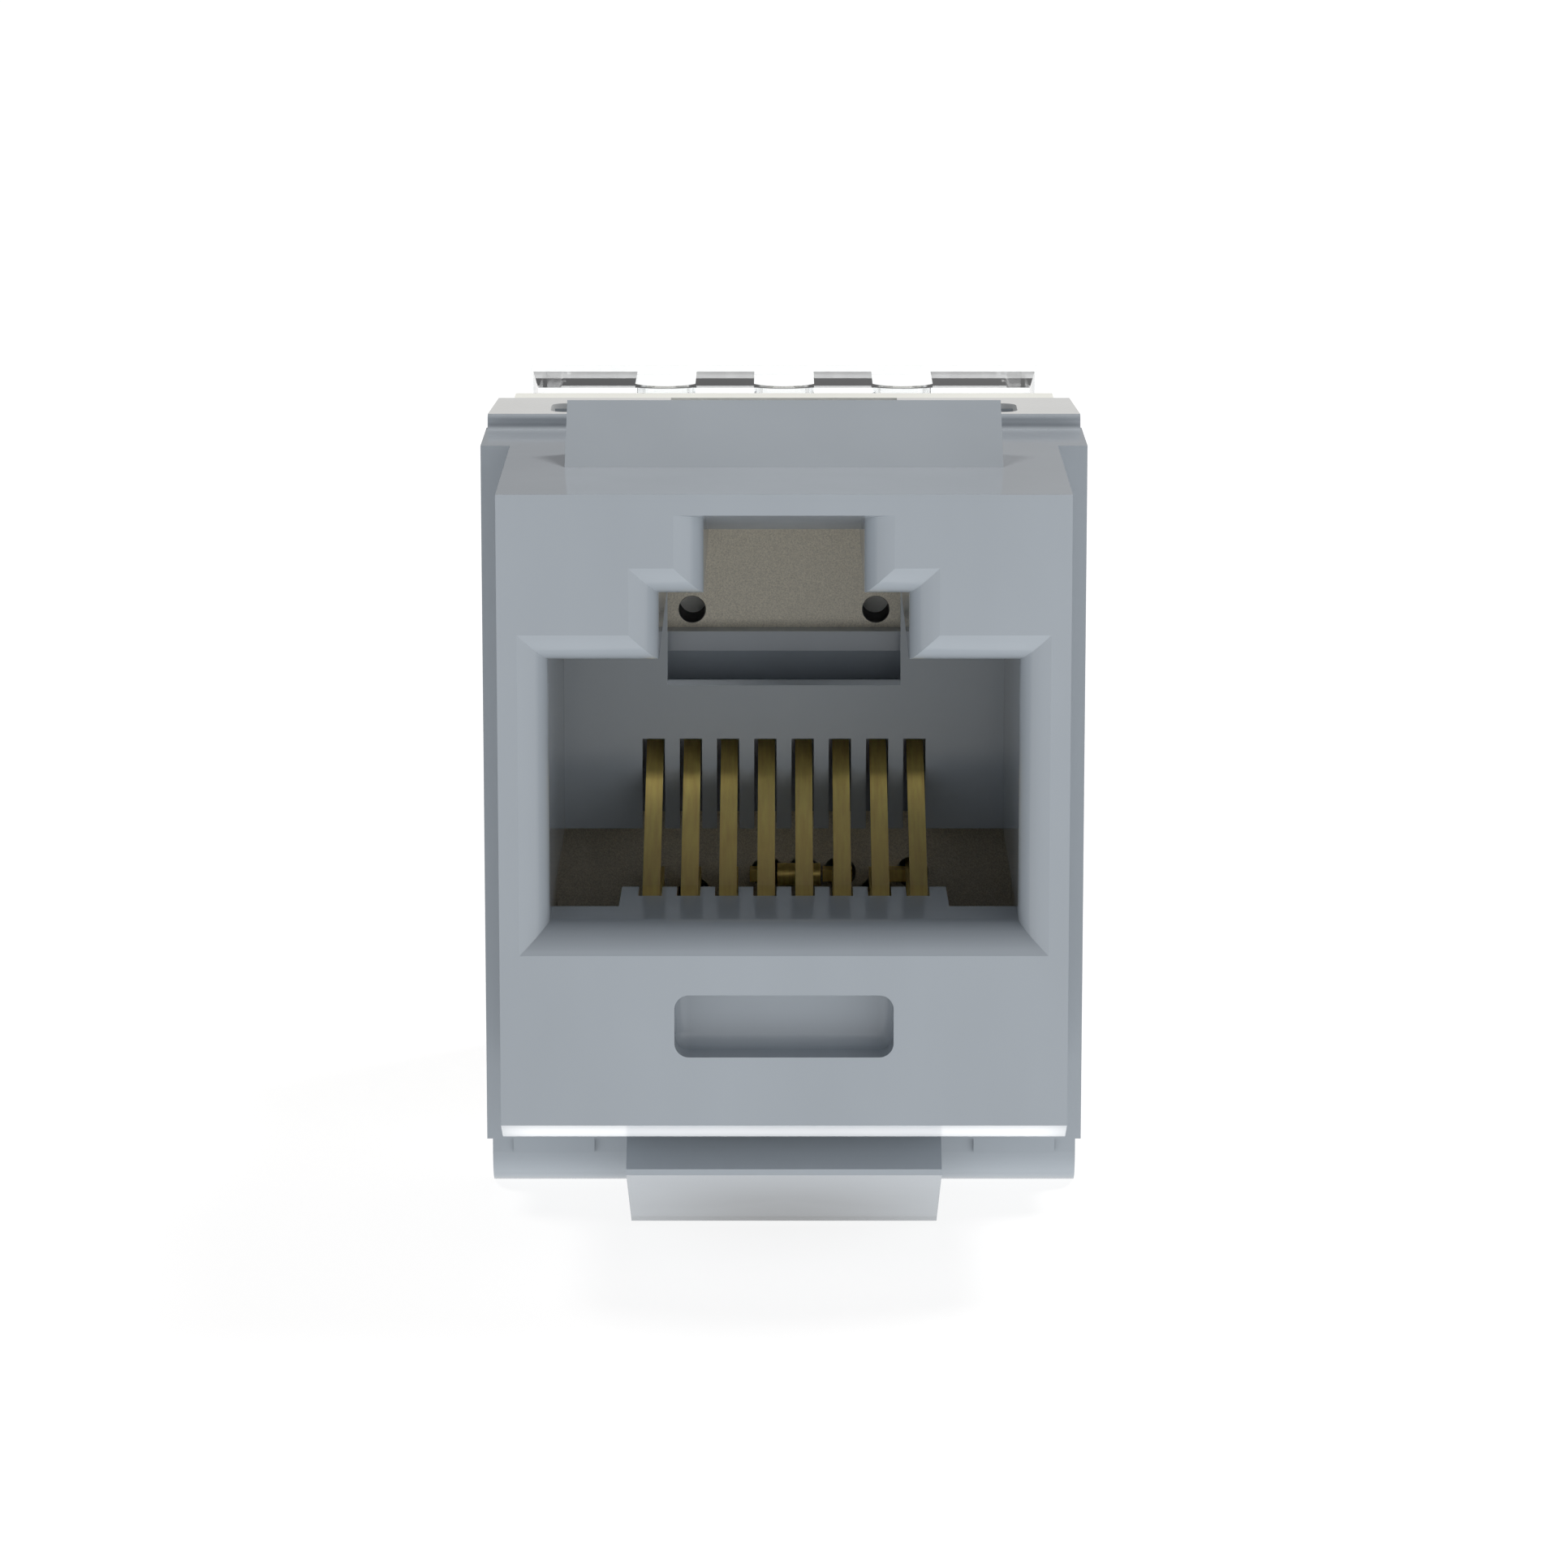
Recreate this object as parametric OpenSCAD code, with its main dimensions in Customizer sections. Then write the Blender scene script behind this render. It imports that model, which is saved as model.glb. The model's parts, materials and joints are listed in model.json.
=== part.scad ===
// Keystone jack: a snap-in eight-way data outlet with a circuit board, two rows
// of insulation-displacement terminals at the rear and a clear dust cap.
// Frame: +X right, +Y towards the rear, +Z up, millimetres.
// Origin: middle of the plug port, on the front face.

/* [Front face] */

// Width of the front face
face_w = 14.5; // [14.1:0.1:14.9]
// Height of the front face
face_h = 16.33; // [16:0.01:16.6]
// Top of the front face above the middle of the plug port
face_top = 7.73; // [7.6:0.01:7.95]
// Length of the bevel under the face, front to rear
bevel_run = 1; // [0.6:0.1:1.5]
// Drop of the bevel under the face
bevel_drop = 0.55; // [0.3:0.05:0.7]
// Width of the icon recess
icon_w = 5.6; // [4:0.01:8]
// Height of the icon recess
icon_h = 1.63; // [1.2:0.01:1.9]
// Depth of the icon recess
icon_depth = 1.25; // [0.6:0.05:1.4]
// Radius of the corners and floor edges of the icon recess
icon_r = 0.37; // [0.2:0.01:0.55]
// Middle of the icon recess below the port floor
icon_drop = 2.6; // [2.2:0.1:2.9]

/* [Plug port] */

// Width of the plug port
port_w = 11.97; // [11.7:0.01:12.1]
// Height of the plug port
port_h = 6.78; // [6.6:0.01:6.9]
// Width of the latch step above the port
mid_w = 6.34; // [6.1:0.02:6.6]
// Rise of the latch step above the port
mid_rise = 1.71; // [1.5:0.01:1.9]
// Width of the latch slot above the step
tab_w = 4.06; // [3.8:0.02:4.4]
// Rise of the latch slot above the port
tab_rise = 2.96; // [2.8:0.02:3.1]
// Drop of the latch slot's roof behind the front face
tab_drop = 0.85; // [0.6:0.05:1]
// Length of the sloping roof of the latch slot
tab_lead = 3.2; // [2.4:0.1:4]
// Radius of the rounded port mouth
mouth_r = 1; // [0.9:0.05:1.1]
// Depth of the rounded port mouth
mouth_depth = 0.97; // [0.8:0.01:0.98]
// Rear wall of the port ahead of the end of the housing wall
port_set = 0.08; // [0.04:0.01:0.2]
// Thickness of the rear wall of the port
wall_t = 0.85; // [0.7:0.05:1]
// Lower edge of the window in the rear wall, above the port floor
window_rise = 4.06; // [3.6:0.01:4.4]
// Rear edge of the port floor
lip_depth = 2.45; // [2:0.05:2.6]
// Lower edge of the port walls above the port floor
wall_lift = 0.08; // [0.04:0.01:0.12]
// Set-back of the hollow below the port walls, each side
hollow_side = 0.265; // [0.15:0.005:0.3]
// Thickness of the nose under that hollow
nose_floor = 1.15; // [1:0.05:1.3]

/* [Contact comb] */

// Number of contacts
contact_n = 8; // [8]
// Contact pitch
contact_pitch = 1.016; // [1:0.001:1.03]
// Pitch of the contacts in the comb, where they close up a little
comb_pitch = 0.998; // [0.99:0.001:1.02]
// Width of a contact
contact_w = 0.46; // [0.4:0.01:0.52]
// Thickness of a contact
contact_t = 0.3; // [0.22:0.01:0.36]
// Side clearance of a contact in its slot
slot_clear = 0.075; // [0.05:0.005:0.1]
// Lie of the contacts to the right of the middle of their slots
contact_shift = 0.03; // [0:0.005:0.04]
// Bottom of the comb slots behind the front face
comb_slot_y = 3.7; // [3.4:0.1:4]
// Length of the comb teeth
comb_tooth = 1.1; // [0.7:0.1:1.2]
// Thickness of the comb
comb_t = 1.2; // [0.9:0.1:1.3]
// Width of the comb
comb_w = 8.48; // [8.2:0.02:9.4]
// Widening of the comb at its root, each side
comb_flare = 0.035; // [0:0.005:0.1]
// Outer radius of the bend at the front of a contact
bend_r = 0.95; // [0.85:0.05:1]
// Top of that bend above the port floor
bend_rise = 0.13; // [0.05:0.01:0.2]
// Middle of the contact beam above the port floor, at the rear wall
beam_rise = 1.69; // [1.5:0.01:1.75]
// Top of the slots in the rear wall, above the port floor
slot_rise = 2.58; // [2.5:0.02:3]
// Length of the contact beam behind the rear wall of the port
tip_len = 1.75; // [1.6:0.01:1.8]
// Top of the carrier above the lower edge of the window
carrier_rise = 1.06; // [0.9:0.01:1.2]
// Depth of the bar along the top of the carrier
carrier_bar = 0.7; // [0.5:0.01:0.9]
// Height of the front of that bar
carrier_bar_h = 0.54; // [0.4:0.01:0.7]
// Carrier inside the port walls, each side
carrier_side = 0.3; // [0.2:0.05:0.5]
// Depth of the carrier at the foot of its sloping front
carrier_foot = 0.3; // [0.2:0.01:0.4]
// Low part of the carrier below the lower edge of the window
carrier_drop = 0.35; // [0.3:0.01:0.5]

/* [Solder tails] */

// Upper row of soldered tails below the port floor
tail_high = 1.82; // [1.6:0.02:2]
// Middle row of soldered tails below the port floor
tail_mid = 2.42; // [2.2:0.02:2.6]
// Lower row of soldered tails below the port floor
tail_low = 3.1; // [2.9:0.02:3.3]
// Height of a tail
tail_h = 0.34; // [0.28:0.02:0.4]
// Thickness of the shoulder that rests on the board
tail_t = 0.5; // [0.4:0.05:0.6]
// Short reach of a shoulder from the middle of its contact
reach_short = 0.34; // [0.26:0.02:0.4]
// Gap between neighbouring shoulders
tail_gap = 0.06; // [0.04:0.01:0.1]
// Radius of the rolled shoulder
roll_r = 0.32; // [0.26:0.02:0.4]
// Front of the board to the upright part of a contact
tail_set = 0.9; // [0.8:0.05:1.2]
// Width of a soldered pin
pin_w = 0.36; // [0.3:0.02:0.4]
// Length of a pin past the board
pin_past = 0.5; // [0.3:0.05:0.6]

/* [Panel fixing] */

// Width over the shoulders
shoulder_w = 16.07; // [15.8:0.01:16.4]
// Shoulder plane behind the front face
shoulder_y = 8.55; // [8.3:0.05:8.8]
// Height of the body behind the shoulders
body_h = 18.93; // [18.7:0.01:19.2]
// Room for the panel edge between a catch and the shoulder plane
panel_gap = 1.55; // [1.3:0.05:1.8]
// Width of the fixed lug
lug_w = 11.34; // [10:0.02:12.4]
// Height of the fixed lug
lug_h = 1.43; // [1.1:0.01:1.6]
// Length of the ramp on the fixed lug
lug_ramp = 2.35; // [1.8:0.05:3]
// Width of the latch arm
latch_w = 8.2; // [7.4:0.1:9]
// Tip of the latch arm behind the front face
latch_tip = 1.9; // [1.6:0.1:2.4]
// Thickness of the latch arm tip
latch_tip_t = 0.16; // [0.1:0.02:0.4]
// Drop of the top of the latch arm at its tip
latch_tip_drop = 0.7; // [0.5:0.05:0.9]
// Length of the sloping top at the tip
latch_lead = 1.05; // [0.8:0.05:1.3]
// Hook height under the latch arm
latch_hook = 1.87; // [1.5:0.01:2]
// Thickness of the latch arm behind its hook
latch_t = 1.63; // [1.3:0.01:1.8]
// Free space over the latch arm
latch_free = 0.9; // [0.6:0.05:1.1]
// Space beside and behind the latch arm
latch_gap = 0.4; // [0.3:0.05:0.5]
// Start of that space behind the tip of the arm
latch_set = 0.6; // [0.4:0.05:1]

/* [Rear of the housing] */

// Rear end of the housing wall behind the front face
body_end = 11.93; // [11.8:0.01:12.2]
// Radius of each round of the step at the rear of the top
step_r = 0.19; // [0.1:0.01:0.25]
// Front of the bottom flange ahead of the end of the wall
flange_t = 1.13; // [0.9:0.01:1.4]
// Drop of the bottom flange
flange_drop = 1.97; // [1.7:0.01:2.2]
// Round under the bottom flange
flange_r = 1; // [0.6:0.05:1.1]
// Width of a stop rib under the body
rib_w = 2.22; // [1.6:0.02:2.6]
// Drop of a stop rib
rib_drop = 0.95; // [0.5:0.05:1.2]
// Middle of a stop rib from the centre line
rib_x = 6.31; // [5.8:0.01:6.5]
// Front of a stop rib ahead of the bottom flange
rib_proud = 0.15; // [0.1:0.05:0.4]

/* [Collar] */

// Length of the collar
collar_len = 3.15; // [2.8:0.05:3.5]
// Step in from the shoulders to the collar, each side
collar_inset = 0.04; // [0.02:0.01:0.1]
// Narrowing of the collar towards the rear, each side
collar_taper = 0.15; // [0.05:0.01:0.25]
// Side wall of the collar
collar_wall = 1.05; // [0.9:0.05:1.2]
// Top and bottom walls of the collar
collar_roof = 1.3; // [1.1:0.05:1.5]
// Width of a latch window in the collar roof
window_w = 2.6; // [1.8:0.1:3.4]
// Length of a latch window
window_len = 1.7; // [1.2:0.1:2]
// Outer side of a latch window from the centre line
window_x = 6.33; // [6:0.01:6.6]
// Corner radius of a latch window
window_r = 0.4; // [0.2:0.05:0.55]
// Front of a latch window behind the front of the collar
window_set = 0.35; // [0.25:0.05:0.6]
// Front edge of each window to the catch that stands in it
catch_gap = 1; // [0.8:0.05:1.1]
// Height of the arm that carries the catch
catch_arm = 0.9; // [0.6:0.05:1.2]
// Width of the notch in the rear edge of the roof
notch_w = 6.2; // [5:0.1:7]
// Length of that notch
notch_len = 2.3; // [1.5:0.05:2.4]

/* [Circuit board] */

// Gap between the board and the inside of the collar, each side
board_side = 0.3; // [0.2:0.02:0.5]
// Gap between the board and the roof of the collar
board_gap = 0.35; // [0.2:0.05:0.5]
// Thickness of the circuit board
board_t = 1.6; // [1.4:0.05:1.7]
// Diameter of the two plain holes in the board
board_hole_d = 0.73; // [0.6:0.01:0.9]
// Distance between the two plain holes
board_hole_gap = 5.08; // [4.9:0.02:5.2]
// Plain holes below the top of the face
board_hole_drop = 5.5; // [5.3:0.05:5.7]
// Diameter of a soldered hole
pin_hole_d = 0.9; // [0.8:0.02:1]

/* [Terminal block] */

// Step in from the rear of the collar to the base, each side
base_inset = 0.43; // [0.3:0.01:0.6]
// Length of the terminal block base
base_len = 3.3; // [3:0.1:3.8]
// Length of the raised edge on top of the base
base_edge = 0.95; // [0.6:0.05:1.1]
// Drop of the base behind that edge
base_step = 0.98; // [0.8:0.02:1.2]
// Width of the post at either end of a row
end_post = 0.685; // [0.6:0.005:0.8]
// Height of a row of posts
row_h = 3.7; // [3.2:0.1:4.2]
// Top of the upper row below the top of the face
row_drop = 1.5; // [1.4:0.05:1.8]
// Length of the posts to their shoulders
post_len = 6.75; // [6:0.05:7]
// Length of a pointed post end
post_tip = 1.3; // [0.8:0.1:1.4]
// Width of a wire slot between posts
wire_slot = 1; // [0.8:0.05:1.2]
// Web under the wire slots
post_web = 1; // [0.7:0.1:1.4]
// Room round the soldered pins in the base
pin_room = 0.6; // [0.5:0.05:0.8]
// Width of a terminal
blade_w = 2.4; // [2:0.05:2.6]
// Thickness of a terminal
blade_t = 0.5; // [0.4:0.02:0.6]
// Length of a terminal above the base
blade_len = 5.8; // [5:0.1:6]
// Width of the cutting slot in a terminal
blade_slot = 0.36; // [0.25:0.01:0.45]
// Root of the cutting slot above the base
blade_root = 1.6; // [1.2:0.1:2]
// Depth of the mouth of the cutting slot
blade_mouth = 0.9; // [0.7:0.05:1.1]
// Width of that mouth
blade_mouth_w = 1.3; // [1:0.05:1.6]
// Width of the pin of a terminal
blade_pin_w = 0.6; // [0.5:0.02:0.64]
// Middle of a terminal inside its row
blade_drop = 1; // [0.8:0.05:1.2]

/* [Dust cap] */

// Rear wall of the dust cap past the base, each side
cap_proud = 0.035; // [0.01:0.005:0.1]
// Top of the dust cap below the top of the face
cap_drop = 0.44; // [0.4:0.01:0.5]
// Walls of the dust cap
cap_wall = 0.6; // [0.5:0.02:0.7]
// Thickness of the rear wall of the dust cap
cap_rear_t = 1.63; // [1.2:0.01:2]
// Rear wall of the cap above its top wall
cap_rise = 0.2; // [0.1:0.01:0.25]
// Fall of the top of the rear wall to the rear
cap_fall = 0.45; // [0.4:0.01:0.6]
// Thickness of the top wall at its front edge
cap_roof_front = 0.45; // [0.4:0.01:0.6]
// Thickness of the top wall at the rear wall
cap_roof_rear = 0.9; // [0.7:0.01:0.95]
// Length of the top and bottom walls of the dust cap
cap_ledge = 3.53; // [3.2:0.01:4]
// Step in from the rear wall to those walls, each side
cap_lip = 0.08; // [0.04:0.01:0.15]
// Narrowing of those walls towards the front, each side
cap_taper = 0.28; // [0.1:0.02:0.4]
// Width of a relief hole in the top wall
relief_w = 1.74; // [1.4:0.02:1.9]
// Length of a relief hole
relief_len = 3.2; // [2.4:0.05:3.4]
// Radius of the front end of a relief hole
relief_r = 1; // [0.96:0.02:1.2]
// Wall of the rim round a relief hole
relief_rim = 0.55; // [0.3:0.05:0.6]

/* [Fits] */

// Clearance between parts that slot together
fit = 0.1; // [0.05:0.01:0.15]
// Clearance round the dust cap
cap_fit = 0.15; // [0.1:0.01:0.2]

/* [Hidden] */

$fn = 48;
// Overrun of a cut past the face it leaves
over = 0.5;

// Heights, measured from the middle of the port
top = face_top;
face_bottom = top - face_h;
nose_bottom = face_bottom - bevel_drop;
port_roof = port_h / 2;
port_floor = -port_h / 2;
mid_roof = port_roof + mid_rise;
tab_roof = port_roof + tab_rise;
body_bottom = top - body_h;
flange_bottom = body_bottom - flange_drop;
step_h = 2 * step_r;
rear_top = top + step_h;
rear_mid = (rear_top + flange_bottom) / 2;
tab_mouth = tab_roof + tab_drop;
wall_edge = port_floor + wall_lift;
slot_top = port_floor + slot_rise;
window_floor = port_floor + window_rise;
comb_bottom = port_floor - comb_t;
latch_top = body_bottom + latch_t;
latch_tip_top = latch_top - latch_tip_drop;
hook_bottom = body_bottom - latch_hook;
hollow_floor = nose_bottom + nose_floor;

// Depths behind the front face
catch_y = shoulder_y - panel_gap;
port_depth = body_end - port_set;
wall_end = port_depth + wall_t;
collar_end = body_end + collar_len;
board_y = collar_end - fit;
board_end = board_y + board_t;
base_end = collar_end + base_len;
comb_end = comb_slot_y + comb_tooth;
post_shoulder = base_end + post_len;
post_end = post_shoulder + post_tip;
cap_y = base_end + fit;
cap_inner_end = post_end + 2 * cap_fit;
cap_end = cap_inner_end + cap_rear_t;

// Widths behind the shoulders
collar_w = shoulder_w - 2 * collar_inset;
collar_rear_w = collar_w - 2 * collar_taper;
base_w = collar_rear_w - 2 * base_inset;
cap_w = base_w + 2 * cap_proud;
hollow_w = port_w + 2 * hollow_side;

// Sleeve of the housing inside the collar
collar_in_w = collar_rear_w - 2 * collar_wall;
sleeve_w = collar_in_w - 2 * fit;
collar_in_top = rear_top - collar_roof;
collar_in_bottom = flange_bottom + collar_roof;
sleeve_top = collar_in_top - fit;
sleeve_bottom = hollow_floor - nose_floor;
hold_y = body_end + window_set + catch_gap;
hold_end = body_end + window_set + window_len - window_r;

// Contacts: bend centre, beam end and run under the port
slot_w = contact_w + 2 * slot_clear;
bend_y = comb_slot_y + fit + bend_r;
bend_z = port_floor + bend_rise - bend_r;
bend_in = bend_r - contact_t;
bend_mid = bend_r - contact_t / 2;
beam_y = port_depth - bend_y;
beam_z = port_floor + beam_rise - bend_z;
beam_len = sqrt(beam_y * beam_y + beam_z * beam_z - bend_mid * bend_mid);
beam_slope = atan2(beam_z, beam_y) - atan2(bend_mid, beam_len);
run_z = bend_z - bend_r;
run_end = board_y - tail_set;

// Carrier behind the rear wall
carrier_y = wall_end + fit;
carrier_w = port_w - 2 * carrier_side;
carrier_top = window_floor + carrier_rise;
carrier_low = window_floor - carrier_drop;
carrier_slot_end = port_depth + tip_len + fit;
carrier_bottom = wall_edge + fit;

// Tails from left to right: drop of each pin, and reach of its shoulder on either side
contact_half = contact_w / 2;
reach_mid = (contact_pitch - tail_gap) / 2;
reach_long = contact_pitch - contact_half - tail_gap;
tail_drop = [
  tail_low, tail_mid, tail_low, tail_high,
  tail_high, tail_high, tail_mid, tail_high
];
tail_left = [
  contact_half, reach_short, contact_half, reach_mid,
  reach_long, reach_mid, reach_short, reach_long
];
tail_right = [
  contact_half, contact_half, contact_half, contact_half,
  reach_mid, reach_short, contact_half, reach_short
];
// The contact whose shoulder is rolled
rolled = 5;

// Board outline
board_w = collar_in_w - 2 * board_side;
board_top = collar_in_top - board_gap;
board_bottom = 2 * rear_mid - board_top;
board_hole_z = top - board_hole_drop;

// Terminal rows: middle of each row and of its terminals
row_top = top - row_drop;
row_z = [row_top - row_h, 2 * rear_mid - row_top];
blade_z = [row_top - blade_drop, 2 * rear_mid - row_top + blade_drop];
cap_side_w = cap_w - 2 * cap_lip - 2 * cap_taper;
row_w = cap_side_w - 2 * cap_wall - 2 * cap_fit;
row_pitch = (row_w - 2 * end_post - wire_slot) / 3;
row_x = [-1.5 * row_pitch, -0.5 * row_pitch, 0.5 * row_pitch, 1.5 * row_pitch];
blade_end = base_end + blade_len;

// Cap walls
cap_top = top - cap_drop;
cap_bottom = 2 * rear_mid - cap_top;
cap_ledge_y = cap_inner_end - cap_ledge;
relief_y = cap_inner_end - relief_len + relief_r;

// A block centred on X, given its width, depths and heights
module block(w, y0, y1, z0, z1) {
  translate([-w / 2, y0, z0])
    cube([w, y1 - y0, z1 - z0]);
}

// An outline drawn as (depth, height), drawn out across the width
module across(w) {
  rotate([90, 0, 90])
    linear_extrude(w, center = true)
      children();
}

// An outline drawn as (width, depth), drawn up from one height to another
module upward(z0, z1) {
  translate([0, 0, z0])
    linear_extrude(z1 - z0)
      children();
}

// An outline drawn as (width, height), drawn out from one depth to another
module rearward(y0, y1) {
  translate([0, y1, 0])
    rotate([90, 0, 0])
      linear_extrude(y1 - y0)
        children();
}

// A rectangle with round corners
module round_rect(w, h, r) {
  square([w - 2 * r, h], center = true);
  square([w, h - 2 * r], center = true);
  for (x = [-1, 1], y = [-1, 1])
    translate([x * (w / 2 - r), y * (h / 2 - r)])
      circle(r);
}

// Section of a port way between two sides, rounded open at the front face
module way_section(a0, a1, depth) {
  translate([a0, -over])
    square([a1 - a0, depth + over]);
  difference() {
    translate([a0 - mouth_r, -over])
      square([a1 - a0 + 2 * mouth_r, mouth_depth + over]);
    translate([a0 - mouth_r, mouth_depth])
      circle(mouth_r);
    translate([a1 + mouth_r, mouth_depth])
      circle(mouth_r);
  }
}

// A rectangular port way with a mitred, rounded mouth
module port_way(w, z0, z1, depth) {
  intersection() {
    upward(z0 - mouth_r, z1 + mouth_r)
      way_section(-w / 2, w / 2, depth);
    across(w + 2 * mouth_r)
      mirror([1, -1])
        way_section(z0, z1, depth);
  }
}

// The stepped way of the plug and its latch
module plug_way() {
  port_way(port_w, port_floor, port_roof, port_depth);
  port_way(mid_w, 0, mid_roof, port_depth);
  tab_way();
}

// The latch slot: rounded sides and a roof that slopes down behind the face
module tab_way() {
  slope = tab_drop / tab_lead;
  intersection() {
    upward(0, top)
      way_section(-tab_w / 2, tab_w / 2, port_depth);
    across(tab_w + 2 * mouth_r)
      polygon([
        [-over, 0], [port_depth, 0], [port_depth, tab_roof],
        [tab_lead, tab_roof], [-over, tab_mouth + over * slope]
      ]);
  }
}

// Icon recess with round corners and a floor rounded into its walls
module icon_recess() {
  long = icon_w / 2 - icon_r;
  tall = icon_h / 2 - icon_r;
  rearward(-over, icon_depth - icon_r)
    round_rect(icon_w, icon_h, icon_r);
  block(2 * long, 0, icon_depth, -tall, tall);
  for (s = [-1, 1]) {
    translate([0, icon_depth - icon_r, s * tall])
      rotate([0, 90, 0])
        cylinder(h = 2 * long, r = icon_r, center = true);
    translate([s * long, icon_depth - icon_r, 0])
      cylinder(h = 2 * tall, r = icon_r, center = true);
    for (t = [-1, 1])
      translate([s * long, icon_depth - icon_r, t * tall])
        sphere(icon_r);
  }
}

// Place of a contact in the row, counted from the middle
function contact_k(i) = i - (contact_n + 1) / 2;

// Position of a contact across the port, at the rear wall
function contact_x(i) = contact_k(i) * contact_pitch + contact_shift;

// Slots for all contacts between two depths and heights
module contact_slots(pitch, y0, y1, z0, z1) {
  for (i = [1:contact_n])
    translate([contact_k(i) * pitch, 0, 0])
      block(slot_w, y0, y1, z0, z1);
}

// Solid outline of the nose with the bevel under the face
module nose() {
  across(face_w)
    polygon([
      [0, top], [shoulder_y + over, top], [shoulder_y + over, nose_bottom],
      [bevel_run, nose_bottom], [0, face_bottom]
    ]);
}

// Body behind the shoulders, with the rounded step at the rear of its top
module body() {
  block(shoulder_w, shoulder_y, body_end, body_bottom, top);
  across(collar_w) {
    difference() {
      translate([body_end - step_h, top - over])
        square([step_h, over + step_r]);
      translate([body_end - step_h, top + step_r])
        circle(step_r);
    }
    intersection() {
      translate([body_end, top + step_r])
        circle(step_r);
      translate([body_end - step_h, top])
        square([step_h, step_h]);
    }
  }
}

// Bottom flange with its rounded edge and the stop ribs ahead of it
module flange() {
  across(collar_w) {
    translate([body_end - flange_t, flange_bottom + flange_r])
      square([flange_t, flange_drop - flange_r + over]);
    intersection() {
      translate([body_end - flange_t + flange_r, flange_bottom + flange_r])
        circle(flange_r);
      translate([body_end - flange_t, flange_bottom])
        square([flange_r, flange_r + over]);
    }
    translate([body_end - flange_t + flange_r, flange_bottom])
      square([flange_t - flange_r, flange_r + over]);
  }
  for (s = [-1, 1])
    translate([s * rib_x, 0, 0])
      block(rib_w, body_end - flange_t - rib_proud, body_end,
        body_bottom - rib_drop, body_bottom + over);
}

// Fixed lug on top, with its lead-in ramp
module lug() {
  across(lug_w)
    polygon([
      [catch_y - lug_ramp, top], [catch_y, top + lug_h],
      [catch_y, top - over], [catch_y - lug_ramp, top - over]
    ]);
}

// Springing latch arm under the nose, with its hook
module latch() {
  across(latch_w)
    polygon([
      [latch_tip, latch_tip_top], [latch_tip, latch_tip_top - latch_tip_t],
      [catch_y, hook_bottom], [catch_y, body_bottom],
      [shoulder_y + over, body_bottom], [shoulder_y + over, latch_top],
      [latch_tip + latch_lead, latch_top]
    ]);
}

// Floor of the port drawn out into a comb that spaces the contacts
module comb() {
  difference() {
    upward(comb_bottom, port_floor)
      polygon([
        [-comb_w / 2 - comb_flare, lip_depth - over],
        [comb_w / 2 + comb_flare, lip_depth - over],
        [comb_w / 2, comb_end], [-comb_w / 2, comb_end]
      ]);
    contact_slots(comb_pitch, comb_slot_y, comb_end + over,
      comb_bottom - over, port_floor + over);
  }
}

// Two catches on the sleeve that stand in the windows of the collar
module collar_catches() {
  for (s = [-1, 1])
    translate([s * (window_x - window_w / 2), 0, 0]) {
      block(window_w - 2 * fit, wall_end - over, hold_end, sleeve_top - catch_arm, sleeve_top);
      across(window_w - 2 * fit)
        polygon([
          [hold_y, sleeve_top - over], [hold_y, rear_top - fit / 2],
          [hold_end, sleeve_top], [hold_end, sleeve_top - over]
        ]);
    }
}

// Housing: nose, shoulders, lug, latch arm and port in one moulding
module front_housing() {
  color([0.62, 0.65, 0.69]) {
    difference() {
      union() {
        nose();
        body();
        flange();
        lug();
        latch();
        block(sleeve_w, body_end - over, wall_end, sleeve_bottom, sleeve_top);
        collar_catches();
      }
      plug_way();
      block(hollow_w, lip_depth, wall_end + over, hollow_floor, wall_edge);
      block(mid_w, port_depth - over, wall_end + over, window_floor, tab_roof);
      block(mid_w, body_end, wall_end + over, tab_roof - over, sleeve_top + over);
      contact_slots(contact_pitch, port_depth - over, wall_end + over,
        wall_edge - over, slot_top);
      translate([0, 0, port_floor - icon_drop])
        icon_recess();
      block(latch_w + 2 * latch_gap, latch_tip + latch_set,
        body_end - flange_t - latch_gap, latch_top, latch_top + latch_free);
    }
    comb();
  }
}

// Block behind the rear wall that backs the contact tips
module contact_carrier() {
  color([0.5, 0.52, 0.54])
    difference() {
      across(carrier_w)
        polygon([
          [carrier_y, carrier_bottom], [board_y, carrier_bottom],
          [board_y, carrier_top], [board_y - carrier_bar, carrier_top],
          [board_y - carrier_bar, carrier_top - carrier_bar_h],
          [board_y - carrier_foot, carrier_low], [carrier_y, carrier_low]
        ]);
      contact_slots(contact_pitch, carrier_y - over, carrier_slot_end,
        carrier_bottom - over, slot_top);
    }
}

// Side outline of a spring contact, from its tip round the bend to the run
module contact_outline() {
  far = 2 * bend_r;
  translate([bend_y, bend_z]) {
    intersection() {
      difference() {
        circle(bend_r);
        circle(bend_in);
      }
      polygon([
        [0, 0], [-far * sin(beam_slope), far * cos(beam_slope)],
        [-far, far], [-far, -far], [0, -far]
      ]);
    }
    rotate(beam_slope)
      translate([0, bend_in])
        square([beam_len + tip_len, contact_t]);
  }
  translate([bend_y, run_z])
    square([run_end - bend_y, contact_t]);
}

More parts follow.
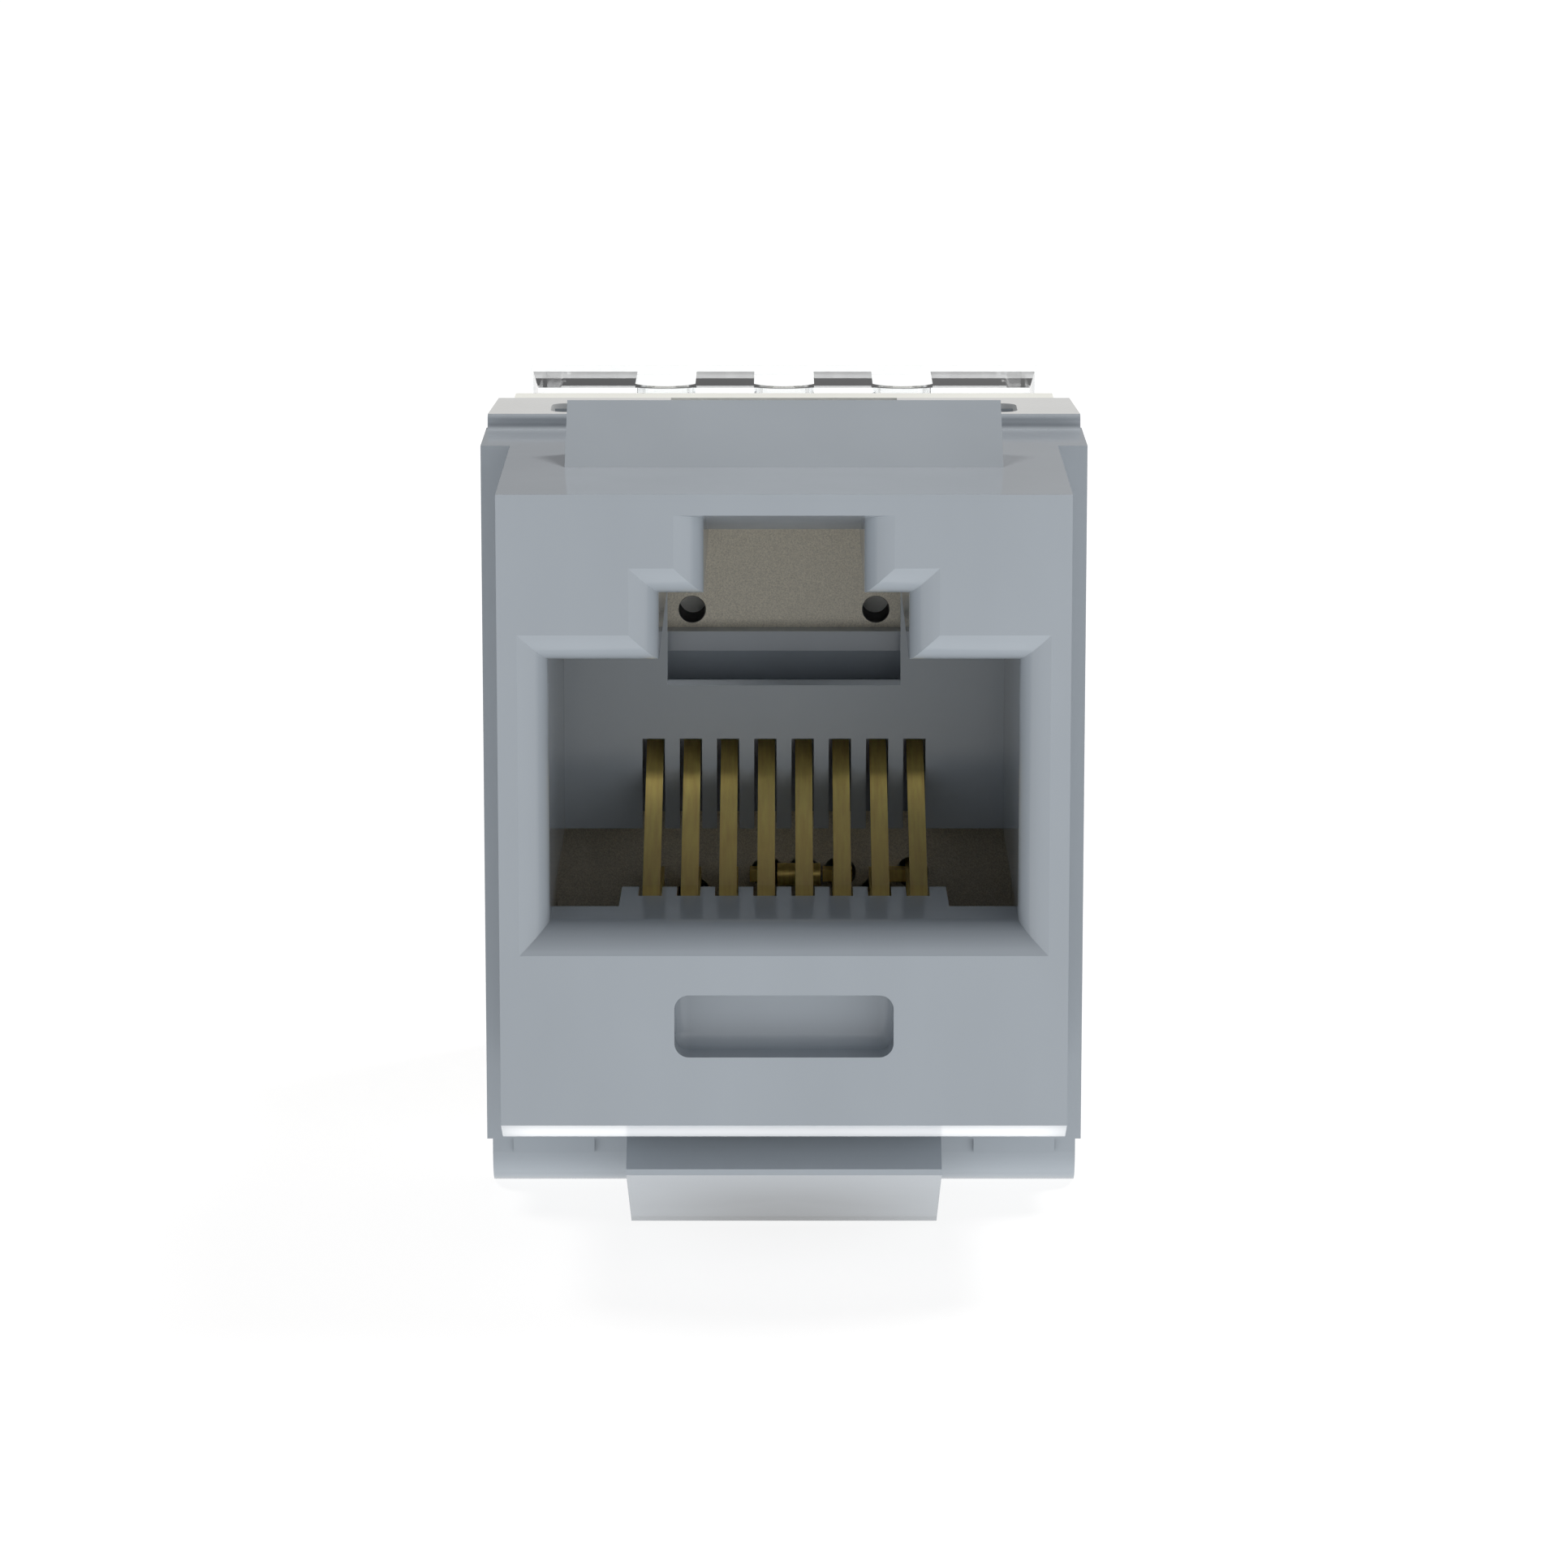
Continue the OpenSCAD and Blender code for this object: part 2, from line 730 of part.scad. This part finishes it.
// One spring contact: beam, bend, run and the tail soldered to the board
module spring_contact(i) {
  pin_z = port_floor - tail_drop[i - 1];
  low_z = min(pin_z - tail_h / 2, run_z);
  high_z = max(pin_z + tail_h / 2, run_z + contact_t);
  reach = tail_left[i - 1] + tail_right[i - 1];
  middle = (tail_right[i - 1] - tail_left[i - 1]) / 2;
  closing = asin((contact_pitch - comb_pitch) * contact_k(i) / (port_depth - comb_slot_y));
  color([0.72, 0.6, 0.3])
    translate([contact_x(i), 0, 0]) {
      translate([0, port_depth, 0])
        rotate([0, 0, -closing])
          translate([0, -port_depth, 0])
            across(contact_w)
              contact_outline();
      block(pin_w, run_end - contact_t, run_end, low_z, high_z);
      block(pin_w, run_end - contact_t, board_end + pin_past,
        pin_z - tail_h / 2, pin_z + tail_h / 2);
      translate([middle, 0, 0])
        if (i == rolled)
          translate([0, board_y - roll_r, pin_z])
            rotate([0, 90, 0])
              cylinder(h = reach, r = roll_r, center = true);
        else
          block(reach, board_y - tail_t, board_y, pin_z - tail_h / 2, pin_z + tail_h / 2);
    }
}

module contact_1() { spring_contact(1); }
module contact_2() { spring_contact(2); }
module contact_3() { spring_contact(3); }
module contact_4() { spring_contact(4); }
module contact_5() { spring_contact(5); }
module contact_6() { spring_contact(6); }
module contact_7() { spring_contact(7); }
module contact_8() { spring_contact(8); }

// Board outline, grown by a clearance
module board_outline(grow) {
  translate([-board_w / 2 - grow, board_bottom - grow])
    square([board_w + 2 * grow, board_top - board_bottom + 2 * grow]);
}

// Circuit board that joins the contacts to the terminals
module circuit_board() {
  color([0.55, 0.5, 0.4])
    difference() {
      rearward(board_y, board_end)
        board_outline(0);
      rearward(board_y - over, board_end + over) {
        for (s = [-1, 1])
          translate([s * board_hole_gap / 2, board_hole_z])
            circle(d = board_hole_d);
        for (i = [1:contact_n])
          translate([contact_x(i), port_floor - tail_drop[i - 1]])
            circle(d = pin_hole_d);
        for (x = row_x, z = blade_z)
          translate([x, z])
            circle(d = pin_hole_d);
      }
    }
}

// Light collar round the rear of the housing, with two latch windows
module rear_collar() {
  color([0.8, 0.79, 0.78])
    difference() {
      upward(flange_bottom, rear_top)
        polygon([
          [-collar_w / 2, body_end], [collar_w / 2, body_end],
          [collar_rear_w / 2, collar_end], [-collar_rear_w / 2, collar_end]
        ]);
      block(collar_in_w, body_end - over, collar_end + over, collar_in_bottom, collar_in_top);
      for (s = [-1, 1])
        translate([s * (window_x - window_w / 2), body_end + window_set + window_len / 2, 0])
          upward(collar_in_top - over, rear_top + over)
            round_rect(window_w, window_len, window_r);
      block(notch_w, collar_end - notch_len, collar_end + over,
        collar_in_top - over, rear_top + over);
    }
}

// Outline of one row of posts, seen along the wires
module post_row() {
  translate([-row_w / 2, base_end - over])
    square([row_w, over + post_web]);
  for (k = [-2:2]) {
    inner = abs(k) < 2;
    x0 = inner ? k * row_pitch - row_pitch / 2 + wire_slot / 2
      : k < 0 ? -row_w / 2 : row_x[3] + wire_slot / 2;
    x1 = inner ? k * row_pitch + row_pitch / 2 - wire_slot / 2
      : k < 0 ? row_x[0] - wire_slot / 2 : row_w / 2;
    tip = inner ? post_tip : post_tip / 2;
    polygon([
      [x0, base_end - over], [x1, base_end - over], [x1, post_shoulder],
      [(x0 + x1) / 2, post_shoulder + tip], [x0, post_shoulder]
    ]);
  }
}

// Terminal block: base with a pocket for the board and two rows of posts
module terminal_block() {
  color([0.89, 0.89, 0.86])
    difference() {
      union() {
        block(base_w, collar_end, collar_end + base_edge, flange_bottom, rear_top);
        block(base_w, collar_end, base_end, flange_bottom, rear_top - base_step);
        for (z = row_z)
          upward(z, z + row_h)
            post_row();
      }
      rearward(collar_end - over, board_end)
        board_outline(fit);
      block(contact_n * contact_pitch + pin_room, board_end - over,
        board_end + pin_past + pin_room / 2,
        port_floor - tail_low - pin_room, port_floor - tail_high + pin_room);
      for (x = row_x, z = blade_z)
        translate([x, 0, z]) {
          block(blade_w + 2 * fit, base_end, blade_end + fit,
            -blade_t / 2 - fit / 2, blade_t / 2 + fit / 2);
          block(blade_pin_w + 2 * fit, board_end - over, base_end + over,
            -blade_t / 2 - fit / 2, blade_t / 2 + fit / 2);
        }
    }
}

// One forked terminal with the pin that is soldered into the board
module forked_terminal(i) {
  upper = i <= 4;
  x = row_x[upper ? i - 1 : i - 5];
  z = blade_z[upper ? 0 : 1];
  color([0.75, 0.73, 0.7])
    translate([x, 0, z])
      upward(-blade_t / 2, blade_t / 2) {
        difference() {
          translate([-blade_w / 2, base_end])
            square([blade_w, blade_len]);
          translate([-blade_slot / 2, base_end + blade_root])
            square([blade_slot, blade_len]);
          polygon([
            [0, blade_end - blade_mouth], [blade_mouth_w / 2, blade_end],
            [blade_mouth_w / 2, blade_end + over], [-blade_mouth_w / 2, blade_end + over],
            [-blade_mouth_w / 2, blade_end]
          ]);
        }
        translate([-blade_pin_w / 2, board_y + fit])
          square([blade_pin_w, base_end + over - board_y - fit]);
      }
}

module terminal_1() { forked_terminal(1); }
module terminal_2() { forked_terminal(2); }
module terminal_3() { forked_terminal(3); }
module terminal_4() { forked_terminal(4); }
module terminal_5() { forked_terminal(5); }
module terminal_6() { forked_terminal(6); }
module terminal_7() { forked_terminal(7); }
module terminal_8() { forked_terminal(8); }

// Outline of the three relief holes in the cap, grown by a rim
module relief_outline(grow) {
  for (k = [-1:1])
    translate([k * row_pitch, 0])
      intersection() {
        translate([-relief_w / 2 - grow, relief_y - relief_r - grow])
          square([relief_w + 2 * grow, relief_len + grow + (grow > 0 ? over : 0)]);
        union() {
          translate([0, relief_y])
            circle(relief_r + grow);
          translate([-relief_r - grow, relief_y])
            square([2 * (relief_r + grow), relief_len + over]);
        }
      }
}

// Outline of the top wall of the cap, narrower at its front
module ledge_outline() {
  rear = cap_w / 2 - cap_lip;
  front = rear - cap_taper;
  polygon([
    [-front, cap_ledge_y], [front, cap_ledge_y],
    [rear, cap_inner_end], [rear, cap_inner_end + over],
    [-rear, cap_inner_end + over], [-rear, cap_inner_end]
  ]);
}

// Upper half of the cap's top wall: the ledge, the rims under it and the relief holes
module cap_roof() {
  front = relief_y - relief_r - relief_rim - over;
  difference() {
    intersection() {
      upward(cap_top - cap_roof_rear, cap_top)
        union() {
          ledge_outline();
          relief_outline(relief_rim);
        }
      across(cap_w)
        polygon([
          [front, cap_top - cap_roof_front], [front, cap_top + over],
          [cap_inner_end + 2 * over, cap_top + over],
          [cap_inner_end + 2 * over, cap_top - cap_roof_rear]
        ]);
    }
    upward(cap_top - cap_roof_rear - over, cap_top + over)
      relief_outline(0);
  }
}

// Clear dust cap over the posts
module dust_cap() {
  color([0.9, 0.93, 0.95, 0.35]) {
    across(cap_w)
      polygon([
        [cap_inner_end, cap_bottom - cap_rise], [cap_end, cap_bottom - cap_rise + cap_fall],
        [cap_end, cap_top + cap_rise - cap_fall], [cap_inner_end, cap_top + cap_rise]
      ]);
    for (s = [-1, 1])
      translate([s * (cap_side_w - cap_wall) / 2, 0, 0])
        block(cap_wall, cap_y, cap_inner_end + over,
          cap_bottom + cap_roof_front, cap_top - cap_roof_front);
    cap_roof();
    translate([0, 0, 2 * rear_mid])
      mirror([0, 0, 1])
        cap_roof();
  }
}

front_housing();
contact_carrier();
contact_1();
contact_2();
contact_3();
contact_4();
contact_5();
contact_6();
contact_7();
contact_8();
circuit_board();
rear_collar();
terminal_block();
terminal_1();
terminal_2();
terminal_3();
terminal_4();
terminal_5();
terminal_6();
terminal_7();
terminal_8();
dust_cap();
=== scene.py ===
import json
import math

import bpy
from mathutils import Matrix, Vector


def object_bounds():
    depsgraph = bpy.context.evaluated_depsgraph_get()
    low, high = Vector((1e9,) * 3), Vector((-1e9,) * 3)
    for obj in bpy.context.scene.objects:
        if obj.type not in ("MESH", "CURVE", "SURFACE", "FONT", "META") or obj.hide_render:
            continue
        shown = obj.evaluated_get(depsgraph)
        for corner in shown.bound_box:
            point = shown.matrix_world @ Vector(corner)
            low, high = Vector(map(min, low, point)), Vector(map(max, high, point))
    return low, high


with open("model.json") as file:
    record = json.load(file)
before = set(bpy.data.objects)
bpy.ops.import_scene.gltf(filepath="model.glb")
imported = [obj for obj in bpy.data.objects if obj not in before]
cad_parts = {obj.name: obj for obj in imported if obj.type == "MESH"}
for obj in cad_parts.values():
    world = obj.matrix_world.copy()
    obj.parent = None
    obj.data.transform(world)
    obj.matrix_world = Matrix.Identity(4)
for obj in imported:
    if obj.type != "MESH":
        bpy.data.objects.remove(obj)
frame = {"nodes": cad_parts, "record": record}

CAD_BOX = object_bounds()

# Camera, read off the photograph's perspective, in metres unless named
CAMERA_AT = (0.0, -0.1511, 0.03093)
CAMERA_PITCH_DEG = 11.449
CAMERA_LENS_MM = 139.75
SENSOR_MM = 36.0
CLIP_NEAR = 0.005
CLIP_FAR = 20.0

# Floor just under the lowest point of the jack, ending a little way behind it, in metres
FLOOR_SIZE = 6.0
FLOOR_BACK = 0.7
FLOOR_DROP = 0.00002
# The floor as it is seen: its own white, and the gray that takes the jack's shadow
FLOOR_WHITE = 0.87
FLOOR_GRAY = (0.2, 0.2, 0.2)

# Light that the table sends up, by distance behind the front face in metres
TABLE_LIGHT = [(-0.2, 1.25), (-0.07, 1.6), (-0.02, 1.5), (-0.006, 1.5), (0.003, 1.5)]
# Top of the curve that holds these levels
TABLE_LIGHT_TOP = 2.0
# Share of that light this far to the left and to the right of the jack
TABLE_SIDE = 0.1
TABLE_LEFT = 0.75
TABLE_RIGHT = 1.25
# Patch of the table that the latch shades: middle behind the front face, reach, narrowing across
# and the share of the light that is left in its middle
SHADE_Y = 0.006
SHADE_R = 0.011
SHADE_NARROW = 1.5
SHADE_LEVEL = 0.05

# Base colours
HOUSING = (0.33, 0.365, 0.4)
CARRIER = (0.32, 0.355, 0.395)
CONTACT = (0.95, 0.68, 0.215)
BOARD = (0.72, 0.67, 0.555)
COLLAR = (0.65, 0.665, 0.665)
BLOCK = (0.855, 0.87, 0.825)
TERMINAL = (0.62, 0.60, 0.56)
CAP = (0.97, 0.985, 0.99)

# Plastic and board: refraction
SOLID_IOR = 1.5
# Moulded plastic: flow marks drawn out upwards, and the fine grain of the mould
FLOW_SCALE = 260.0
FLOW_STRETCH = (1.0, 1.0, 0.4)
GRAIN_SCALE = 9000.0
# Depth of fine relief on plastic, metal and board, in metres
RELIEF = 0.00002

# Rolled metal: fine lines along the strip, and painted shade darkening its front end between two places in
# metres
LINE_SCALES = (9000.0, 500.0, 900.0)
LINE_BUMP = 0.25
PAINTED_SHADE_SPAN = (0.0045, 0.0092)
PAINTED_SHADE_TONE = (0.42, 0.4, 0.38)
BRIGHT = (1.0, 1.0, 1.0)

# Board: speckle and faint weave, and the two holes behind the port, painted dark as the shade in them, in
# metres
BOARD_ROUGHNESS = 0.55
SPECKLE_SCALE = 30000.0
WEAVE_SCALE = 700.0
WEAVE_WARP = 1.5
WEAVE_BUMP = 0.15
HOLE_AT = (0.00254, 0.0, 0.00223)
HOLE_R = 0.00038
HOLE_EDGE = 0.00001
HOLE_PAINTED_SHADE = (0.012, 0.011, 0.009)

# Clear cap: refraction, and slow ripples in its faces
CAP_IOR = 1.58
RIPPLE_SCALE = 220.0
RIPPLE_BUMP = 0.05
RIPPLE_DEPTH = 0.0001

# Levels of the surroundings along each axis, from -1 to 1
WORLD_RAMPS = {
    "Z": [
        (-0.05, (0.88, 0.88, 0.89)), (0.17, (0.86, 0.86, 0.87)), (0.36, (0.52, 0.52, 0.53)),
        (0.6, (0.26, 0.26, 0.27)), (0.9, (0.16, 0.16, 0.165)),
    ],
    "Y": [
        (-1.0, (1.6, 1.6, 1.6)), (-0.8, (1.25, 1.25, 1.25)), (-0.4, (1.0, 1.0, 1.0)),
        (0.3, (1.0, 1.0, 1.0)), (0.7, (0.7, 0.7, 0.7)), (1.0, (0.3, 0.3, 0.3)),
    ],
    "X": [
        (-1.0, (0.5, 0.51, 0.53)), (-0.5, (0.5, 0.505, 0.52)), (-0.07, (0.74, 0.74, 0.75)),
        (0.07, (1.14, 1.14, 1.13)), (0.5, (1.26, 1.25, 1.24)), (1.0, (0.95, 0.945, 0.93)),
    ],
}

# Lamps: two soft ones high behind the jack, and a strip that lights the chamfer under its face
WARM = (1.0, 0.97, 0.935)
AMBER = (1.0, 0.88, 0.785)
LAMPS = [
    # name, place, aim, width, depth, watts, colour, spread in degrees
    ("top_left", (-0.45, 0.25, 0.85), (0.0, 0.01, 0.0), 0.3, 0.3, 3.8, WARM, 180.0),
    ("top_right", (0.45, 0.25, 0.85), (0.0, 0.01, 0.0), 0.3, 0.3, 6.2, WARM, 180.0),
    ("under_nose", (0.0, 0.00055, -0.0129), (0.0, 0.00055, 0.0), 0.0144, 0.0007, 0.000103, AMBER, 25.0),
]


class Nodes:
    """Short forms for building one node tree."""

    def __init__(self, tree, output):
        self.tree = tree
        self.tree.nodes.clear()
        self.out = self.node(output)

    def node(self, kind, inputs=None, **settings):
        """A node with its settings, and each input set to a constant or linked to a socket."""
        made = self.tree.nodes.new(kind)
        for key, value in settings.items():
            setattr(made, key, value)
        for key, value in (inputs or {}).items():
            if isinstance(value, bpy.types.NodeSocket):
                self.tree.links.new(value, made.inputs[key])
            else:
                made.inputs[key].default_value = value
        return made

    def surface(self, shader):
        self.tree.links.new(shader, self.out.inputs["Surface"])

    def principled(self, **inputs):
        sockets = {key.replace("_", " "): value for key, value in inputs.items()}
        self.surface(self.node("ShaderNodeBsdfPrincipled", sockets).outputs["BSDF"])

    def places(self, scale=(1.0, 1.0, 1.0)):
        coords = self.node("ShaderNodeTexCoord").outputs["Object"]
        return self.node("ShaderNodeMapping", {"Vector": coords, "Scale": scale}).outputs["Vector"]

    def axes(self, vector):
        return self.node("ShaderNodeSeparateXYZ", {"Vector": vector}).outputs

    def noise(self, vector, scale, detail=2.0, roughness=0.5):
        inputs = {"Vector": vector, "Scale": scale, "Detail": detail, "Roughness": roughness}
        return self.node("ShaderNodeTexNoise", inputs).outputs["Fac"]

    def ramp(self, value, stops):
        made = self.node("ShaderNodeValToRGB", {"Fac": value})
        elements = made.color_ramp.elements
        while len(elements) < len(stops):
            elements.new(0.5)
        for element, (position, colour) in zip(elements, stops):
            element.position = position
            element.color = (*colour, 1.0)
        return made.outputs["Color"]

    def spread(self, value, low=0.0, high=1.0, start=0.0, end=1.0, **settings):
        """Carries a value from start to end over to low to high."""
        inputs = {"Value": value, "From Min": start, "From Max": end, "To Min": low, "To Max": high}
        return self.node("ShaderNodeMapRange", inputs, **settings).outputs["Result"]

    def times(self, first, second):
        return self.node("ShaderNodeMath", {0: first, 1: second}, operation="MULTIPLY").outputs["Value"]

    def distance(self, first, second):
        return self.node("ShaderNodeVectorMath", {0: first, 1: second}, operation="DISTANCE").outputs["Value"]

    def mix(self, factor, first, second, **settings):
        inputs = {"Factor": factor, "A": first, "B": second}
        return self.node("ShaderNodeMix", inputs, data_type="RGBA", **settings).outputs["Result"]

    def bump(self, height, strength, depth):
        inputs = {"Height": height, "Strength": strength, "Distance": depth}
        return self.node("ShaderNodeBump", inputs).outputs["Normal"]


def new_material(name):
    material = bpy.data.materials.new(name)
    material.use_nodes = True
    return material, Nodes(material.node_tree, "ShaderNodeOutputMaterial")


def tint(colour, factor):
    return tuple(min(1.0, c * factor) for c in colour)


def moulded_plastic(name, colour, roughness, grain, mottle=0.05, specular=0.5):
    """Satin moulded plastic: fine grain, slight flow marks and uneven gloss."""
    material, s = new_material(name)
    flow = s.noise(s.places(FLOW_STRETCH), FLOW_SCALE, 3.0)
    fine = s.noise(s.places(), GRAIN_SCALE, 2.0, 0.6)
    s.principled(
        IOR=SOLID_IOR,
        Specular_IOR_Level=specular,
        Base_Color=s.ramp(flow, [(0.3, tint(colour, 1.0 - mottle)), (0.7, tint(colour, 1.0 + mottle))]),
        Roughness=s.spread(fine, roughness * 0.6, roughness * 1.4),
        Normal=s.bump(fine, grain, RELIEF),
    )
    return material


def brushed_metal(name, colour, roughness, metallic=1.0):
    """Rolled strip with fine lines along its length, and painted shade darkening its front end."""
    material, s = new_material(name)
    lines = s.noise(s.places(LINE_SCALES), 1.0, 3.0, 0.6)
    strip = s.ramp(lines, [(0.25, tint(colour, 0.88)), (0.75, tint(colour, 1.2))])
    # Painted shade: the strip's front end is darkened to stand in for the shade low in the port
    backwards = s.spread(s.axes(s.places())["Y"], start=PAINTED_SHADE_SPAN[0], end=PAINTED_SHADE_SPAN[1])
    painted_shade = s.ramp(backwards, [(0.0, PAINTED_SHADE_TONE), (1.0, BRIGHT)])
    s.principled(
        Metallic=metallic,
        Base_Color=s.mix(1.0, strip, painted_shade, blend_type="MULTIPLY"),
        Roughness=s.spread(lines, roughness - 0.08, roughness + 0.1),
        Normal=s.bump(lines, LINE_BUMP, RELIEF),
    )
    return material


def glass_fibre_board(name, colour):
    """Bare laminate with a speckled surface, a faint weave and holes painted dark as the shade in them."""
    material, s = new_material(name)
    speckle = s.noise(s.places(), SPECKLE_SCALE, 3.0, 0.7)
    laminate = s.ramp(speckle, [(0.32, tint(colour, 0.76)), (0.68, tint(colour, 1.22))])
    flat = s.places((1.0, 0.0, 1.0))
    mirrored = s.node("ShaderNodeVectorMath", {0: flat}, operation="ABSOLUTE").outputs["Vector"]
    # Painted shade: a dark disc at each hole stands in for the shade inside it
    outside = s.spread(s.distance(mirrored, HOLE_AT), start=HOLE_R - HOLE_EDGE, end=HOLE_R + HOLE_EDGE)
    threads = {"Vector": s.places(), "Scale": WEAVE_SCALE, "Distortion": WEAVE_WARP}
    weave = s.node("ShaderNodeTexWave", threads, wave_type="BANDS", bands_direction="DIAGONAL")
    s.principled(
        IOR=SOLID_IOR,
        Roughness=BOARD_ROUGHNESS,
        Base_Color=s.mix(outside, (*HOLE_PAINTED_SHADE, 1.0), laminate),
        Normal=s.bump(weave.outputs["Fac"], WEAVE_BUMP, RELIEF),
    )
    return material


def clear_plastic(name, colour):
    """Clear moulded cap with slightly uneven, glossy faces."""
    material, s = new_material(name)
    ripple = s.noise(s.places(), RIPPLE_SCALE, 2.0)
    s.principled(
        IOR=CAP_IOR,
        Transmission_Weight=1.0,
        Base_Color=(*colour, 1.0),
        Roughness=s.spread(ripple, 0.01, 0.05),
        Normal=s.bump(ripple, RIPPLE_BUMP, RIPPLE_DEPTH),
    )
    return material


# One material for each slot in the record
MATERIALS = {
    "housing_plastic": moulded_plastic("housing_plastic", HOUSING, 0.1, 0.015, 0.03, 0.36),
    "carrier_plastic": moulded_plastic("carrier_plastic", CARRIER, 0.16, 0.04),
    "contact_metal": brushed_metal("contact_metal", CONTACT, 0.36, 0.45),
    "board": glass_fibre_board("board", BOARD),
    "collar_plastic": moulded_plastic("collar_plastic", COLLAR, 0.4, 0.1, 0.03),
    "block_plastic": moulded_plastic("block_plastic", BLOCK, 0.4, 0.1, 0.03),
    "terminal_metal": brushed_metal("terminal_metal", TERMINAL, 0.3),
    "cap_plastic": clear_plastic("cap_plastic", CAP),
}


def dress_nodes():
    """Gives every CAD node the material of its slot in the record."""
    slots = {part["node"]: part["material_slot"] for part in frame["record"]["subparts"]}
    for name, obj in frame["nodes"].items():
        material = MATERIALS[slots[name]]
        if not obj.material_slots:
            obj.data.materials.append(material)
        for place in obj.material_slots:
            place.material = material


def table_level(s):
    """Light from the table at each place: by depth and across it, less where the latch shades it."""
    shift = FLOOR_SIZE / 2.0 - FLOOR_BACK
    coords = s.node("ShaderNodeTexCoord").outputs["Object"]
    axes = s.axes(coords)
    far, near = TABLE_LIGHT[0][0], TABLE_LIGHT[-1][0]
    backwards = s.spread(axes["Y"], start=far + shift, end=near + shift)
    by_depth = s.node("ShaderNodeFloatCurve", {"Value": backwards})
    curve = by_depth.mapping.curves[0]
    points = [((y - far) / (near - far), level / TABLE_LIGHT_TOP) for y, level in TABLE_LIGHT]
    curve.points[0].location, curve.points[1].location = points[0], points[-1]
    for point in points[1:-1]:
        curve.points.new(*point)
    by_depth.mapping.update()
    light = s.times(by_depth.outputs["Value"], TABLE_LIGHT_TOP)
    across = s.spread(axes["X"], TABLE_LEFT, TABLE_RIGHT, -TABLE_SIDE, TABLE_SIDE)
    squeeze = {0: coords, 1: (SHADE_NARROW, 1.0, 1.0)}
    narrowed = s.node("ShaderNodeVectorMath", squeeze, operation="MULTIPLY").outputs["Vector"]
    away = s.distance(narrowed, (0.0, SHADE_Y + shift, 0.0))
    shade = s.spread(away, SHADE_LEVEL, end=SHADE_R, interpolation_type="SMOOTHSTEP")
    return s.times(s.times(light, across), shade)


def make_floor():
    """White light table: plain white with a faint shadow of the jack, glowing softly up at it."""
    place = (0.0, FLOOR_BACK - FLOOR_SIZE / 2.0, CAD_BOX[0].z - FLOOR_DROP)
    bpy.ops.mesh.primitive_plane_add(size=FLOOR_SIZE, location=place)
    floor = bpy.context.object
    floor.name = "floor"
    material, s = new_material("floor")
    gray = s.node("ShaderNodeBsdfDiffuse", {"Color": (*FLOOR_GRAY, 1.0)})
    white = s.node("ShaderNodeEmission", {"Strength": FLOOR_WHITE})
    seen = s.node("ShaderNodeAddShader", {0: gray.outputs["BSDF"], 1: white.outputs["Emission"]})
    glow = s.node("ShaderNodeEmission", {"Strength": table_level(s)})
    lit = s.node("ShaderNodeLightPath").outputs["Is Diffuse Ray"]
    either = {"Fac": lit, 1: seen.outputs["Shader"], 2: glow.outputs["Emission"]}
    s.surface(s.node("ShaderNodeMixShader", either).outputs["Shader"])
    floor.data.materials.append(material)


def make_world():
    """Studio surroundings: bright low in front, dim overhead and behind, dimmer on the left."""
    world = bpy.data.worlds.new("studio")
    bpy.context.scene.world = world
    world.use_nodes = True
    s = Nodes(world.node_tree, "ShaderNodeOutputWorld")
    axes = s.axes(s.node("ShaderNodeTexCoord").outputs["Generated"])
    colour = None
    for axis, stops in WORLD_RAMPS.items():
        along = s.spread(axes[axis], start=-1.0)
        level = s.ramp(along, [((place + 1.0) / 2.0, tone) for place, tone in stops])
        colour = s.mix(1.0, colour, level, blend_type="MULTIPLY") if colour else level
    s.surface(s.node("ShaderNodeBackground", {"Color": colour, "Strength": 1.0}).outputs["Background"])


def area_light(name, place, aim, width, depth, watts, colour, spread_deg):
    """A soft light aimed at a point, which the camera doesn't see."""
    data = bpy.data.lights.new(name, "AREA")
    data.shape = "RECTANGLE"
    data.size = width
    data.size_y = depth
    data.spread = math.radians(spread_deg)
    data.energy = watts
    data.color = colour
    lamp = bpy.data.objects.new(name, data)
    bpy.context.scene.collection.objects.link(lamp)
    lamp.location = place
    lamp.rotation_euler = (Vector(aim) - Vector(place)).to_track_quat("-Z", "Y").to_euler()
    lamp.visible_camera = False


def make_camera():
    data = bpy.data.cameras.new("camera")
    data.lens = CAMERA_LENS_MM
    data.sensor_width = SENSOR_MM
    data.clip_start = CLIP_NEAR
    data.clip_end = CLIP_FAR
    data.dof.use_dof = False
    camera = bpy.data.objects.new("camera", data)
    bpy.context.scene.collection.objects.link(camera)
    camera.location = CAMERA_AT
    camera.rotation_euler = (math.radians(90.0 - CAMERA_PITCH_DEG), 0.0, 0.0)
    bpy.context.scene.camera = camera


make_camera()
dress_nodes()
make_floor()
make_world()
for lamp in LAMPS:
    area_light(*lamp)

bpy.context.scene.view_settings.view_transform = "Standard"
